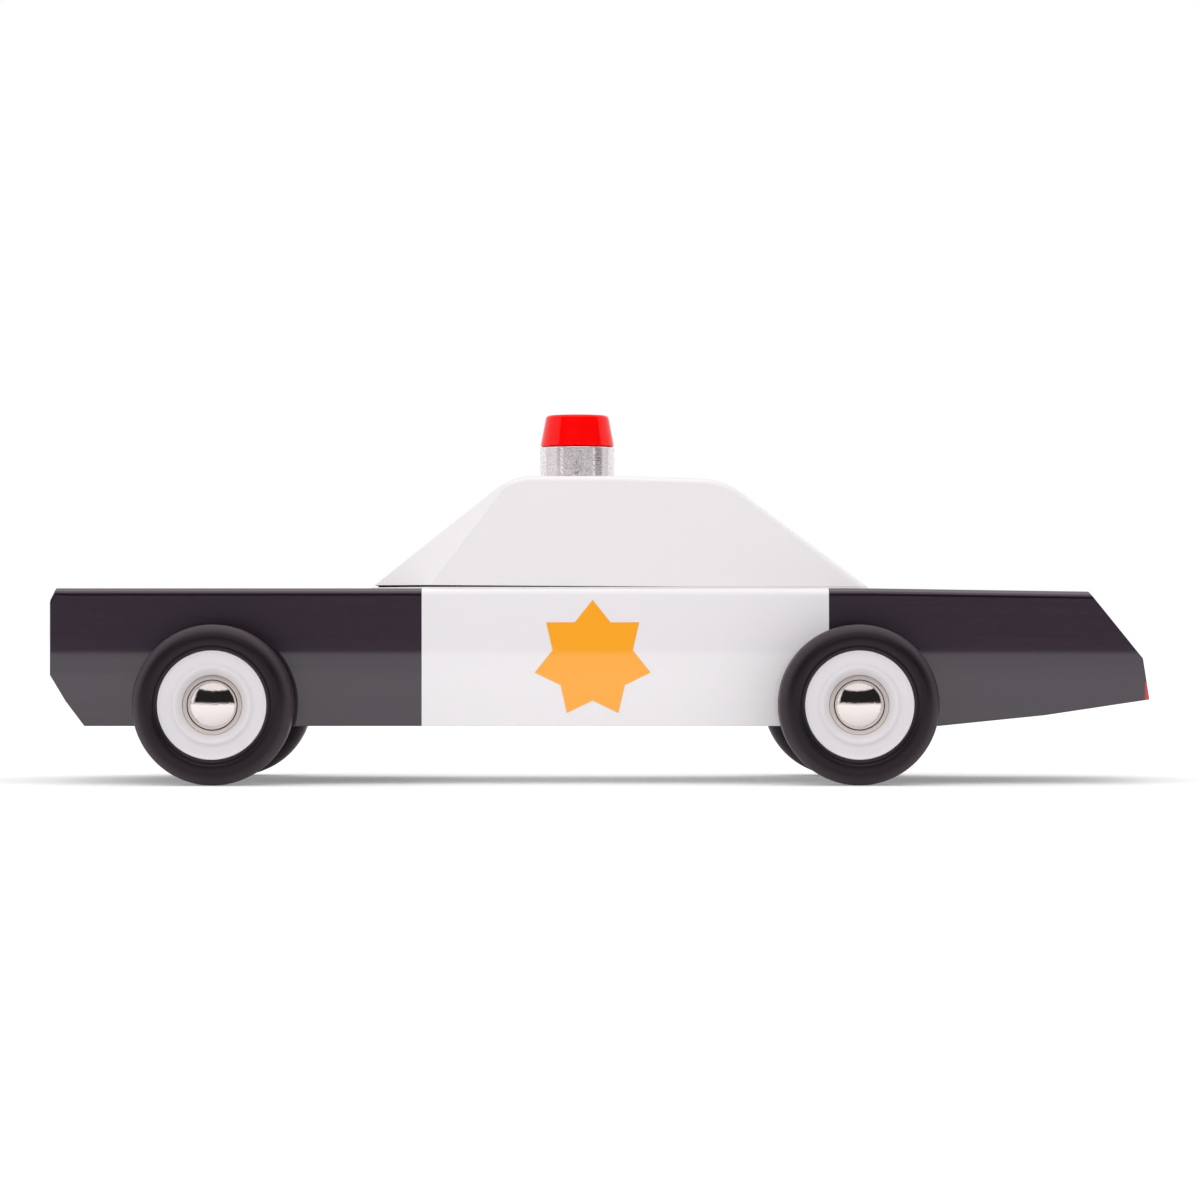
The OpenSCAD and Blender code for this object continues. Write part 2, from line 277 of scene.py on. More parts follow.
# aluminium off a lathe: rings of tool marks, dull specks
def turnedMetal(name, colour):
    def build(sheet):
        rings = sheet.noise(0.05, stretch=(0.02, 0.02, 1))
        speck = sheet.noise(0.42, detail=3, rough=0.75)
        dull = sheet.band(speck, 0.48, 0.64)
        return {
            "Base Color": sheet.blend(dull, shade(colour, 1.0), shade(colour, 0.68)),
            "Metallic": 1.0,
            "Roughness": 0.07 + 0.2 * dull,
            "Normal": sheet.bump(rings + 0.4 * speck, 0.0022),
        }
    return principled(name, build)


# clear coloured plastic
def clearPlastic(name, colour):
    def build(sheet):
        flow = sheet.noise(3)
        return {
            "Base Color": sheet.blend(flow, shade(colour, 0.95), shade(colour, 1.0)),
            "Roughness": 0.06 + 0.05 * flow,
            "IOR": 1.49,
            "Specular IOR Level": 0.21,
            "Transmission Weight": 0.06,
            "Normal": sheet.bump(flow, 0.004),
        }
    return principled(name, build)


# bare wood, its grain along Z
def bareWood(name, colour, sheen=0.5):
    def build(sheet):
        fibre = sheet.noise(0.7, detail=5, stretch=(1, 1, 0.06), rough=0.6)
        pore = sheet.noise(0.25, stretch=(1, 1, 0.1))
        return {
            "Base Color": sheet.blend(fibre, shade(colour, 0.7), shade(colour, 1.15)),
            "Roughness": 0.55 + 0.2 * pore,
            "Specular IOR Level": sheen,
            "Normal": sheet.bump(fibre + 0.5 * pore, 0.02),
        }
    return principled(name, build)


finishes = {
    "blackLacquer": lacquer("blackLacquer", (0.006, 0.002, 0.006), drift=0.1, grainDepth=0.03,
                            haze=0.62, hazeTint=(1.0, 0.76, 1.0, 1)),
    "whiteLacquer": lacquer("whiteLacquer", (0.815, 0.785, 0.808), drift=0.012, grainDepth=0.006),
    "cabinLacquer": lacquer("cabinLacquer", (0.795, 0.762, 0.768), drift=0.012, grainDepth=0.006,
                            coatBlur=0.32),
    "starOrange": lacquer("starOrange", (0.955, 0.378, 0.012), drift=0.02, grainDepth=0.004,
                          haze=0.16),
    "tailRed": lacquer("tailRed", (0.5, 0.018, 0.022), drift=0.05, haze=0.08),
    # near black and without shine: painted shade for the cabin's seam groove and the cap's crease
    "paintedGrooveShade": bareWood("paintedGrooveShade", (0.006, 0.0045, 0.0045), sheen=0.0),
    "tyreRubber": rubber("tyreRubber", (0.0102, 0.0077, 0.0096), tread=12.5),
    "hubPlastic": plastic("hubPlastic", (0.73, 0.695, 0.72), roughness=0.34),
    "capNickel": metal("capNickel", (0.83, 0.76, 0.74), roughness=0.05, spread=0.05,
                       markSize=0.45, depth=0.016),
    "brimNickel": metal("brimNickel", (0.86, 0.78, 0.73), roughness=0.56, spread=0.16,
                        markSize=0.2, depth=0.004),
    "turnedAluminium": turnedMetal("turnedAluminium", (0.87, 0.82, 0.83)),
    "lensRed": clearPlastic("lensRed", (1.0, 0.001, 0.001)),
    "axleSteel": metal("axleSteel", (0.56, 0.55, 0.55), roughness=0.25, spread=0.15,
                       markSize=0.15, depth=0.002, stretch=(1, 0.03, 1)),
    "screwSteel": metal("screwSteel", (0.6, 0.59, 0.57), roughness=0.3, spread=0.15,
                        markSize=0.2, depth=0.003),
    "bushNylon": plastic("bushNylon", (0.80, 0.77, 0.69), roughness=0.42),
    "dowelWood": bareWood("dowelWood", (0.58, 0.4, 0.2)),
}
print("finishes made:", len(finishes))


# turns a drawn bmesh into a finished piece of the car
def makePiece(name, bm, finishNames, body, slotName, *nodes, edgeRound=0, creaseAngle=32):
    bmesh.ops.remove_doubles(bm, verts=bm.verts, dist=weldDistance)
    bmesh.ops.recalc_face_normals(bm, faces=bm.faces)
    bmesh.ops.scale(bm, vec=(mm, mm, mm), verts=bm.verts)
    mesh = bpy.data.meshes.new(name)
    bm.to_mesh(mesh)
    bm.free()
    for finishName in finishNames:
        mesh.materials.append(finishes[finishName])
    mesh.shade_smooth()
    mesh.set_sharp_from_angle(angle=math.radians(creaseAngle))
    piece = bpy.data.objects.new(name, mesh)
    bpy.context.scene.collection.objects.link(piece)
    if edgeRound:
        roundEdges(piece, edgeRound)
    # keeps broad faces flat in the gloss
    flats = piece.modifiers.new("flatFaces", "WEIGHTED_NORMAL")
    flats.keep_sharp = True
    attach(piece, body)
    if nodes:
        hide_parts(*nodes)


# takes the sharpness off the edges that weighSharp marked
def roundEdges(piece, width):
    rounding = piece.modifiers.new("roundEdges", "BEVEL")
    rounding.limit_method = "WEIGHT"
    rounding.width = width * mm
    rounding.segments = 3
    rounding.profile = 0.5
    rounding.material = -1
    rounding.use_clamp_overlap = False


# marks the edges to round: those that isThick picks in full, the others by a share
def weighSharp(bm, angle, isThick, thinShare):
    weights = bm.edges.layers.float.new("bevel_weight_edge")
    for edge in bm.edges:
        if edge.calc_face_angle(0) > math.radians(angle):
            edge[weights] = 1.0 if isThick(edge) else thinShare


# extrudes faces in place and returns the new points
def growFaces(bm, faces):
    grown = bmesh.ops.extrude_face_region(bm, geom=faces)["geom"]
    return [g for g in grown if isinstance(g, bmesh.types.BMVert)]


# a side outline given in X and Z, with round bores, extruded across the car
def sideBlock(outline, halfWidth, bores=(), boreRadius=0, boreSteps=48):
    bm = bmesh.new()
    corners = [bm.verts.new((x, -halfWidth, z)) for x, z in outline]
    for first, second in zip(corners, corners[1:] + corners[:1]):
        bm.edges.new((first, second))
    upright = Matrix.Rotation(math.radians(90), 4, "X")
    for x, z in bores:
        place = Matrix.Translation((x, -halfWidth, z)) @ upright
        bmesh.ops.create_circle(bm, segments=boreSteps, radius=boreRadius, matrix=place)
    bmesh.ops.triangle_fill(bm, edges=bm.edges[:], use_beauty=True, use_dissolve=True,
                            normal=(0, -1, 0))
    moved = growFaces(bm, bm.faces[:])
    bmesh.ops.translate(bm, verts=moved, vec=(0, 2 * halfWidth, 0))
    bmesh.ops.recalc_face_normals(bm, faces=bm.faces)
    return bm


def bevelEdges(bm, edges, width, segments):
    bmesh.ops.bevel(bm, geom=edges, offset=width, offset_type="OFFSET", segments=segments,
                    profile=0.5, affect="EDGES", material=-1, clamp_overlap=False)


def liesAcross(edge, leastCosine=0.9):
    return abs((edge.verts[0].co - edge.verts[1].co).normalized().y) > leastCosine


# corner edges of a block's long sides that reach above a height
def flankEdges(bm, halfWidth, lowest, leastBend=0.3):
    return [e for e in bm.edges
            if not liesAcross(e)
            and min(abs(v.co.y) for v in e.verts) > halfWidth - touch
            and max(v.co.z for v in e.verts) > lowest
            and e.calc_face_angle(0) > leastBend]


# a straight cut across some faces, for a paint edge or a corner taken off
def cutAcross(bm, faces, point, normal, takeOff=False):
    parts = list({part for f in faces for part in (f, *f.edges, *f.verts)})
    cut = bmesh.ops.bisect_plane(bm, geom=parts, dist=cutDistance, plane_co=point,
                                 plane_no=normal, clear_outer=takeOff)
    if takeOff:
        rim = [g for g in cut["geom_cut"] if isinstance(g, bmesh.types.BMEdge)]
        bmesh.ops.holes_fill(bm, edges=rim, sides=0)


# shaves the edge between two flats of a block with a few cuts, which make a small round
def softenEdge(bm, spot, first, second, radius, cuts=3):
    middle = (first + second).normalized()
    centre = spot - middle * (radius / middle.dot(first))
    for step in range(1, cuts + 1):
        normal = first.slerp(second, step / (cuts + 1))
        cutAcross(bm, bm.faces[:], centre + normal * radius, normal, takeOff=True)


# turns what is drawn in the XZ plane about Z
def turnRound(bm, steps):
    bmesh.ops.spin(bm, geom=bm.verts[:] + bm.edges[:], cent=(0, 0, 0), axis=(0, 0, 1),
                   angle=fullTurn, steps=steps, use_merge=True)
    bmesh.ops.remove_doubles(bm, verts=bm.verts, dist=weldDistance)


# a profile of rows (radius, height, rounding), turned about Z; an open one ends on the axis
def lathe(rows, steps, closed=True, segments=4):
    bm = bmesh.new()
    drawProfile(bm, rows, closed, segments)
    turnRound(bm, steps)
    bmesh.ops.recalc_face_normals(bm, faces=bm.faces)
    return bm


def drawProfile(bm, rows, closed, segments):
    corners = [bm.verts.new((row[0], 0, row[1])) for row in rows]
    ends = corners[1:] + corners[:1] if closed else corners[1:]
    for first, second in zip(corners, ends):
        bm.edges.new((first, second))
    for corner, row in zip(corners, rows):
        rounding = row[2]
        if rounding:
            bmesh.ops.bevel(bm, geom=[corner], offset=rounding, offset_type="OFFSET",
                            segments=segments, profile=0.5, affect="VERTICES", material=-1,
                            clamp_overlap=True)


bodyPaint = {
    "noseCut": (5.4, 8.0),  # length and height of the slant under the nose
    "noseCrown": 0.25,
    "tailSlope": 9.5,
    "tailFoot": 10.6,  # height of the tail slope's foot above the belly
    "tailLean": 1.0,
    "tailRise": (33.0, 4.15),  # length and height of the underside's rise
    "tailCrown": 0.4,
    "trunkDrop": 0.5,
    "bandEnds": (-27.95, 35.9),  # the white band along X
    "lampTop": 15.9,
    "lampWrap": 85.5,  # X where the tail lamp's paint starts on the side
    "lampInner": 9.0,
    "lampFacing": -0.5,  # faces that look further down than this stay black
    "noseChamfer": (0.95, 1.9),  # along the deck and down the nose
    "deckChamfer": 0.75,
    "edgeRound": 0.42,
    "thinShare": 0.3,  # share of that round on the edges with thin paint
    "rimDepth": 2.0,  # how far below the deck the thick paint reaches
    "sharpAngle": 18,  # degrees between two faces from which their edge is rounded
    "boreRadius": 2.27,
}


# the middle of an outline's edge, moved out to crown it
def crowned(start, end, crown):
    along = (end - start).normalized()
    return (start + end) / 2 + Vector((along.y, -along.x)) * crown


# the body seen from its side, in X and Z
def bodyOutline(paint, low, high, cabinEnd):
    noseLength, noseHeight = paint["noseCut"]
    noseTop, noseFace = paint["noseChamfer"]
    riseLength, rise = paint["tailRise"]
    chin = Vector((low.x, low.z + noseHeight))
    chinFoot = Vector((low.x + noseLength, low.z))
    riseStart = Vector((high.x - riseLength, low.z))
    riseEnd = Vector((high.x, low.z + rise))
    return [
        chinFoot,
        riseStart,
        crowned(riseStart, riseEnd, paint["tailCrown"]),
        riseEnd,
        (high.x - paint["tailLean"], low.z + paint["tailFoot"]),
        (high.x - paint["tailSlope"], high.z - paint["trunkDrop"]),
        (cabinEnd, high.z),
        (low.x + noseTop, high.z),
        (low.x, high.z - noseFace),
        chin,
        crowned(chin, chinFoot, paint["noseCrown"]),
    ]


def facesBehind(bm, x):
    return [f for f in bm.faces if f.calc_center_median().x > x]


def cutPaintEdges(bm, paint):
    bandEnd = paint["bandEnds"][1]
    for x in paint["bandEnds"]:
        cutAcross(bm, bm.faces[:], (x, 0, 0), (1, 0, 0))
    cutAcross(bm, facesBehind(bm, bandEnd), (0, 0, paint["lampTop"]), (0, 0, 1))
    lampFaces = [f for f in facesBehind(bm, bandEnd)
                 if max(v.co.z for v in f.verts) < paint["lampTop"] + touch]
    cutAcross(bm, lampFaces, (paint["lampWrap"], 0, 0), (1, 0, 0))
    for side in (left, right):
        rearFaces = facesBehind(bm, paint["lampWrap"])
        cutAcross(bm, rearFaces, (0, side * paint["lampInner"], 0), (0, 1, 0))


# black is finish 0, the white band 1 and the tail lamps 2
def paintBody(bm, paint):
    bandStart, bandEnd = paint["bandEnds"]
    for face in bm.faces:
        spot = face.calc_center_median()
        onRear = spot.x > paint["lampWrap"] and face.normal.z > paint["lampFacing"]
        isLamp = onRear and spot.z < paint["lampTop"] and abs(spot.y) > paint["lampInner"]
        face.material_index = 2 if isLamp else 1 if bandStart < spot.x < bandEnd else 0


def makeBodyBlock(paint):
    low, high = nodeBox("body_block")
    cabinEnd = nodeBox("cabin_block")[1].x
    outline = bodyOutline(paint, low, high, cabinEnd)
    axles = [sum(nodeBox(axle), Vector()) / 2 for axle in ("front_axle", "rear_axle")]
    bm = sideBlock(outline, high.y, [(a.x, a.z) for a in axles], paint["boreRadius"])
    deckFloor = high.z - paint["trunkDrop"] - touch
    deckEdges = [e for e in flankEdges(bm, high.y, deckFloor)
                 if min(v.co.z for v in e.verts) > deckFloor]
    bevelEdges(bm, deckEdges, paint["deckChamfer"], 1)
    cutPaintEdges(bm, paint)
    paintBody(bm, paint)

    # the paint is thicker and rounder where the deck's chamfer meets the sides
    def isDeckRim(edge):
        return (min(abs(v.co.y) for v in edge.verts) > high.y - touch
                and min(v.co.z for v in edge.verts) > high.z - paint["rimDepth"])

    weighSharp(bm, paint["sharpAngle"], isDeckRim, paint["thinShare"])
    makePiece("bodyBlock", bm, ["blackLacquer", "whiteLacquer", "tailRed"], "chassis",
              "body_paint", "body_block", edgeRound=paint["edgeRound"])


makeBodyBlock(bodyPaint)
print("body block made")

cabinPaint = {
    "windscreenRun": 22.7,
    "rearWindowRun": 23.0,
    "roofDrop": 0.5,
    "roofBreak": 2.5,  # X where the roof starts to fall
    "facet": (9.4, 9.0, 0.2),  # along the deck, across the deck, along the roof
    "facetRound": 0.5,
    "roofEndRound": 2.95,
    "roofEndSteps": 10,
    "roofEndMargin": 1.0,  # edges this near the deck or the roof's break stay sharp
    "sideRound": 1.2,
    "sideSteps": 6,
    "footStrip": 0.22,  # height of the painted strip under the seam
    "seamHeights": (0.36, 0.03),  # the seam is wider at the front than at the rear
    "seamClose": 14.0,  # X where it has narrowed
    "seamDepth": 0.9,
}


# faces that lie between two heights
def stripFaces(bm, bottom, top):
    return [f for f in bm.faces
            if bottom < f.calc_center_median().z < top
            and max(v.co.z for v in f.verts) < top + hair
            and min(v.co.z for v in f.verts) > bottom - hair]


# cuts off the corners beside the windscreen and softens the new edges
def cutCorners(bm, paint, low, high):
    alongDeck, acrossDeck, alongRoof = paint["facet"]
    roofFront = low.x + paint["windscreenRun"]
    screenNormal = Vector((low.z - high.z, 0, paint["windscreenRun"])).normalized()
    for side in (left, right):
        flank = side * high.y
        sideFoot = Vector((low.x + alongDeck, flank, low.z))
        sideTop = Vector((roofFront + alongRoof, flank, high.z))
        frontFoot = Vector((low.x, flank - side * acrossDeck, low.z))
        facetNormal = (sideTop - sideFoot).cross(frontFoot - sideFoot).normalized()
        if facetNormal.y * side < 0:
            facetNormal.negate()
        cutAcross(bm, bm.faces[:], sideFoot, facetNormal, takeOff=True)
        softenEdge(bm, sideFoot, facetNormal, Vector((0, side, 0)), paint["facetRound"])
        softenEdge(bm, frontFoot, facetNormal, screenNormal, paint["facetRound"])


# a thin ring of the sides pushed in: a wedge in front and a hairline behind, its faces painted
# dark as the seam's shade
def cutSeam(bm, paint, low, high):
    foot = low.z + paint["footStrip"]
    seamFront, seamRear = paint["seamHeights"]
    closed = paint["seamClose"]
    fall = (seamRear - seamFront) / (closed - low.x)
    cutAcross(bm, bm.faces[:], (0, 0, foot), (0, 0, 1))
    cutAcross(bm, bm.faces[:], (0, 0, foot + seamFront), (0, 0, 1))
    cutAcross(bm, stripFaces(bm, foot, foot + seamFront), (closed, 0, 0), (1, 0, 0))
    strip = stripFaces(bm, foot, foot + seamFront)
    wedge = [f for f in strip if f.calc_center_median().x < closed]
    cutAcross(bm, wedge, (closed, 0, foot + seamRear), (-fall, 0, 1))
    hairline = [f for f in strip if f.is_valid and f.calc_center_median().x > closed]
    cutAcross(bm, hairline, (closed, 0, foot + seamRear), (0, 0, 1))

    def isInSeam(face):
        spot = face.calc_center_median()
        return spot.z < foot + seamRear + max(0, fall * (spot.x - closed))

    ring = [f for f in stripFaces(bm, foot, foot + seamFront) if isInSeam(f)]
    moved = growFaces(bm, ring)
    bmesh.ops.delete(bm, geom=ring, context="FACES")
    middle = (low + high) / 2
    half = (high - low) / 2
    inward = (1 - paint["seamDepth"] / half.x, 1 - paint["seamDepth"] / half.y, 1)
    bmesh.ops.scale(bm, vec=inward, verts=moved, space=Matrix.Translation(-middle))
    # the pushed-in faces take finish 1, the painted shade of the seam
    for face in {f for v in moved for f in v.link_faces}:
        face.material_index = 1
    bmesh.ops.recalc_face_normals(bm, faces=bm.faces)


def makeCabinBlock(paint):
    low, high = nodeBox("cabin_block")
    outline = [
        (low.x, low.z),
        (high.x, low.z),
        (high.x - paint["rearWindowRun"], high.z - paint["roofDrop"]),
        (paint["roofBreak"], high.z),
        (low.x + paint["windscreenRun"], high.z),
    ]
    bm = sideBlock(outline, high.y)
    margin = paint["roofEndMargin"]
    roofEnds = [e for e in bm.edges
                if liesAcross(e)
                and e.verts[0].co.z > low.z + margin
                and abs(e.verts[0].co.x - paint["roofBreak"]) > margin]
    bevelEdges(bm, roofEnds, paint["roofEndRound"], paint["roofEndSteps"])
    sides = flankEdges(bm, high.y, low.z + touch)
    bevelEdges(bm, sides, paint["sideRound"], paint["sideSteps"])
    cutCorners(bm, paint, low, high)
    cutSeam(bm, paint, low, high)
    makePiece("cabinBlock", bm, ["cabinLacquer", "paintedGrooveShade"], "chassis", "cabin_paint",
              "cabin_block")


makeCabinBlock(cabinPaint)
print("cabin block made")

starPaint = {
    "centre": (-1.15, 19.55),  # X and Z
    "radius": 9.32,
    "innerShare": 0.692,
    "points": 7,
    "film": 0.05,  # thickness of the paint film
    "sunk": 0.02,
}


def makeStar(name, side, paint):
    low, high = nodeBox("body_block")
    bm = bmesh.new()
    bmesh.ops.create_circle(bm, cap_ends=True, segments=2 * paint["points"],
                            radius=paint["radius"])
    bmesh.ops.scale(bm, vec=(paint["innerShare"],) * 3, verts=bm.verts[:][1::2])
    moved = growFaces(bm, bm.faces[:])
    bmesh.ops.translate(bm, verts=moved, vec=(0, 0, paint["film"] + paint["sunk"]))
    x, z = paint["centre"]
    upright = Matrix.Rotation(math.radians(90), 4, "X")
    if side == left:
        place = Matrix.Translation((x, low.y + paint["sunk"], z)) @ upright
    else:
        mirrored = Matrix.Scale(-1, 4, (0, 1, 0)) @ upright
        place = Matrix.Translation((x, high.y - paint["sunk"], z)) @ mirrored
    bmesh.ops.transform(bm, matrix=place, verts=bm.verts)
    makePiece(name, bm, ["starOrange"], "chassis", "body_paint")


makeStar("starLeft", left, starPaint)
makeStar("starRight", right, starPaint)
print("stars painted")

beaconSizes = {
    "steps": 160,
    "screwHole": 1.27,
    "radius": 6.0,
    "footCut": 0.14,
    "footEdge": 0.03,
    "chamfer": 0.3,
    "chamferEdge": 0.05,
    "socketRadius": 3.52,
    "socketDepth": 3.4,
    "socketEdge": 0.1,
    "spigotRadius": 3.5,
    "spigotEdge": 0.15,
    "lensFoot": 5.95,
    "footRound": 0.1,
    "lensTop": 5.0,
    "lensRound": 0.5,
    "lensRoundSteps": 6,
    "lensCrown": 0.12,  # rise of the lens's top towards its middle
    "crownPlaceShare": 0.5,
    "crownDropShare": 0.3,
    "crownRound": 0.6,
}


def makeBeacon(sizes):
    low, high = nodeBox("beacon_base")
    lensLow, lensHigh = nodeBox("beacon_lens")
    axis = Matrix.Translation(((low.x + high.x) / 2, 0, 0))
    radius, chamfer, footCut = sizes["radius"], sizes["chamfer"], sizes["footCut"]
    hole, socket = sizes["screwHole"], sizes["socketRadius"]
    collar = lathe([
        (hole, low.z, 0),
        (radius - footCut, low.z, 0),
        (radius, low.z + footCut, sizes["footEdge"]),
        (radius, high.z - chamfer, sizes["chamferEdge"]),
        (radius - chamfer, high.z, sizes["chamferEdge"]),
        (socket, high.z, sizes["socketEdge"]),
        (socket, high.z - sizes["socketDepth"], 0),
        (hole, high.z - sizes["socketDepth"], 0),
    ], sizes["steps"])
    bmesh.ops.transform(collar, matrix=axis, verts=collar.verts)
    makePiece("beaconCollar", collar, ["turnedAluminium"], "chassis", "base_metal", "beacon_base")
    spigot, crown = sizes["spigotRadius"], sizes["lensCrown"]
    crownPlace = sizes["lensTop"] * sizes["crownPlaceShare"]
    lens = lathe([
        (0, lensLow.z, 0),
        (spigot, lensLow.z, sizes["spigotEdge"]),
        (spigot, high.z, 0),
        (sizes["lensFoot"], high.z, sizes["footRound"]),
        (sizes["lensTop"], lensHigh.z - crown, sizes["lensRound"]),
        (crownPlace, lensHigh.z - crown * sizes["crownDropShare"], sizes["crownRound"]),
        (0, lensHigh.z, 0),
    ], sizes["steps"], closed=False, segments=sizes["lensRoundSteps"])
    bmesh.ops.transform(lens, matrix=axis, verts=lens.verts)
    makePiece("beaconLens", lens, ["lensRed"], "chassis", "lens_red", "beacon_lens")


makeBeacon(beaconSizes)
print("beacon made")


# stands a piece turned about Z on an axle, its Z pointing out of the car's side
def atWheel(bm, corner):
    bodyHigh = nodeBox("body_block")[1]
    low, high = nodeBox(corner + "_tyre")
    side = left if low.y < 0 else right
    middle = Vector(((low.x + high.x) / 2, side * bodyHigh.y, (low.z + high.z) / 2))
    outward = Matrix.Rotation(math.radians(-90 * side), 4, "X")
    bmesh.ops.transform(bm, matrix=Matrix.Translation(middle) @ outward, verts=bm.verts)
    return bm


wheelSteps = 144

# rows are radius, distance out from the body's side, rounding
tyreRows = [
    (8.52, 2.45, 0.0),
    (8.68, 1.95, 0.12),
    (9.0, 1.75, 0.08),
    (9.12, 1.9, 0.05),
    (9.26, 1.75, 0.06),
    (9.5, 1.55, 0.15),
    (10.0, 1.5, 0.2),
    (10.6, 1.54, 0.1),
    (10.85, 1.68, 0.05),
    (12.5, 2.45, 1.42),
    (12.5, 9.55, 1.42),
    (10.85, 10.32, 0.05),
    (10.6, 10.46, 0.1),
    (10.0, 10.5, 0.2),
    (9.5, 10.45, 0.15),
    (9.26, 10.25, 0.06),
    (9.12, 10.1, 0.05),
    (9.0, 10.25, 0.08),
    (8.68, 10.05, 0.12),
    (8.52, 9.55, 0.0),
    (8.52, 7.5, 0.0),
    (7.82, 7.5, 0.1),
    (7.82, 4.5, 0.1),
    (8.52, 4.5, 0.0),
]

hubRows = [
    (1.55, 1.1, 0.1),
    (3.2, 1.1, 0.2),
    (3.2, 5.8, 0.2),
    (6.8, 5.8, 0.3),
    (6.8, 2.3, 0.15),
    (8.5, 2.3, 0.25),
    (8.5, 4.48, 0.0),
    (7.8, 4.48, 0.0),
    (7.8, 7.52, 0.0),
    (8.5, 7.52, 0.0),
    (8.5, 9.7, 0.12),
    (8.25, 9.64, 0.12),
    (8.0, 9.4, 0.15),
    (7.2, 9.2, 0.33),
    (6.5, 9.14, 0.22),
    (6.12, 9.4, 0.2),
    (5.82, 9.48, 0.14),
    (5.4, 9.24, 0.24),
    (4.9, 8.75, 0.26),
    (4.65, 8.46, 0.08),
    (4.63, 8.02, 0.0),
    (1.55, 8.02, 0.1),
]

capSizes = {
    "bore": 1.52,
    "boreEnd": 9.42,
    "under": 8.1,
    "brimRadius": 4.6,
    "brimEdge": 8.44,
    "brimRound": 0.06,
    "brimTop": 8.58,
    "edgeRound": 0.05,
    "roundSteps": 3,
    "groove": (3.88, 8.3),  # radius and floor of the crease round the dome
    "grooveFlare": 0.08,
    "domeRadius": 3.8,
    "domeFoot": 8.6,
    "domeHeight": 1.5,
    "arcSteps": 16,
    "steps": 112,
    "finishMargin": 0.02,  # how far past an edge the next finish starts
}


# the dome is an arc swept up to the axis, the rest of the profile runs from it to the bore
def capMesh(sizes):
    bm = bmesh.new()
    foot, radius, height = sizes["domeFoot"], sizes["domeRadius"], sizes["domeHeight"]
    ball = (radius ** 2 + height ** 2) / (2 * height)
    start = bm.verts.new((radius, 0, foot))
    bmesh.ops.spin(bm, geom=[start], cent=(0, 0, foot + height - ball), axis=(0, 1, 0),
                   angle=-math.asin(radius / ball), steps=sizes["arcSteps"])
    grooveRadius, grooveFloor = sizes["groove"]
    edgeRound, brimRound = sizes["edgeRound"], sizes["brimRound"]
    drawProfile(bm, [
        (radius, grooveFloor, 0),
        (grooveRadius, grooveFloor, 0),
        (grooveRadius + sizes["grooveFlare"], sizes["brimTop"], edgeRound),
        (sizes["brimRadius"], sizes["brimEdge"] + brimRound, brimRound),
        (sizes["brimRadius"], sizes["under"], edgeRound),
        (sizes["bore"], sizes["under"], edgeRound),
        (sizes["bore"], sizes["boreEnd"], 0),
        (0, sizes["boreEnd"], 0),
    ], closed=False, segments=sizes["roundSteps"])
    grooveCorner = Vector((radius, 0, grooveFloor))
    first = min(bm.verts, key=lambda v: (v.co - grooveCorner).length)
    bm.edges.new((start, first))
    turnRound(bm, sizes["steps"])
    finishCap(bm, sizes)
    return bm


# the dome is finish 0, the brim and the inside 1 and the crease 2, painted dark for the shade in
# it
def finishCap(bm, sizes):
    radius, margin = sizes["domeRadius"], sizes["finishMargin"]
    grooveRadius = sizes["groove"][0]
    for face in bm.faces:
        spot = face.calc_center_median()
        reach = Vector((spot.x, spot.y)).length
        nearGroove = radius - margin < reach < grooveRadius + 2 * margin
        inHeight = sizes["under"] + touch < spot.z < sizes["domeFoot"] - margin
        face.material_index = 2 if nearGroove and inHeight else 1 if reach > radius + margin else 0


def makeWheels():
    for end in ("front", "rear"):
        for sideName in ("left", "right"):
            corner = end + "_" + sideName
            label = end + sideName.capitalize()
            wheel = corner + "_wheel"
            tyre = atWheel(lathe(tyreRows, wheelSteps), corner)
            makePiece(label + "Tyre", tyre, ["tyreRubber"], wheel, "tyre_rubber", corner + "_tyre")
            hub = atWheel(lathe(hubRows, wheelSteps), corner)
            makePiece(label + "Hub", hub, ["hubPlastic"], wheel, "hub_plastic", corner + "_hub")
            cap = atWheel(capMesh(capSizes), corner)
            makePiece(label + "Cap", cap, ["capNickel", "brimNickel", "paintedGrooveShade"],
                      end + "_axle_set", "cap_nickel", corner + "_cap")


makeWheels()
print("wheels made")

# nodes whose shape is right keep it and take a better finish
keptFinishes = {
    "front_axle": "axleSteel",
    "rear_axle": "axleSteel",
    "beacon_screw": "screwSteel",
    "cabin_dowels": "dowelWood",
    "front_left_bush": "bushNylon",
    "front_right_bush": "bushNylon",
    "rear_left_bush": "bushNylon",
    "rear_right_bush": "bushNylon",
}
for nodeName, finishName in keptFinishes.items():
    for materialSlot in frame["nodes"][nodeName].material_slots:
        materialSlot.material = finishes[finishName]
print("kept nodes finished:", len(keptFinishes))

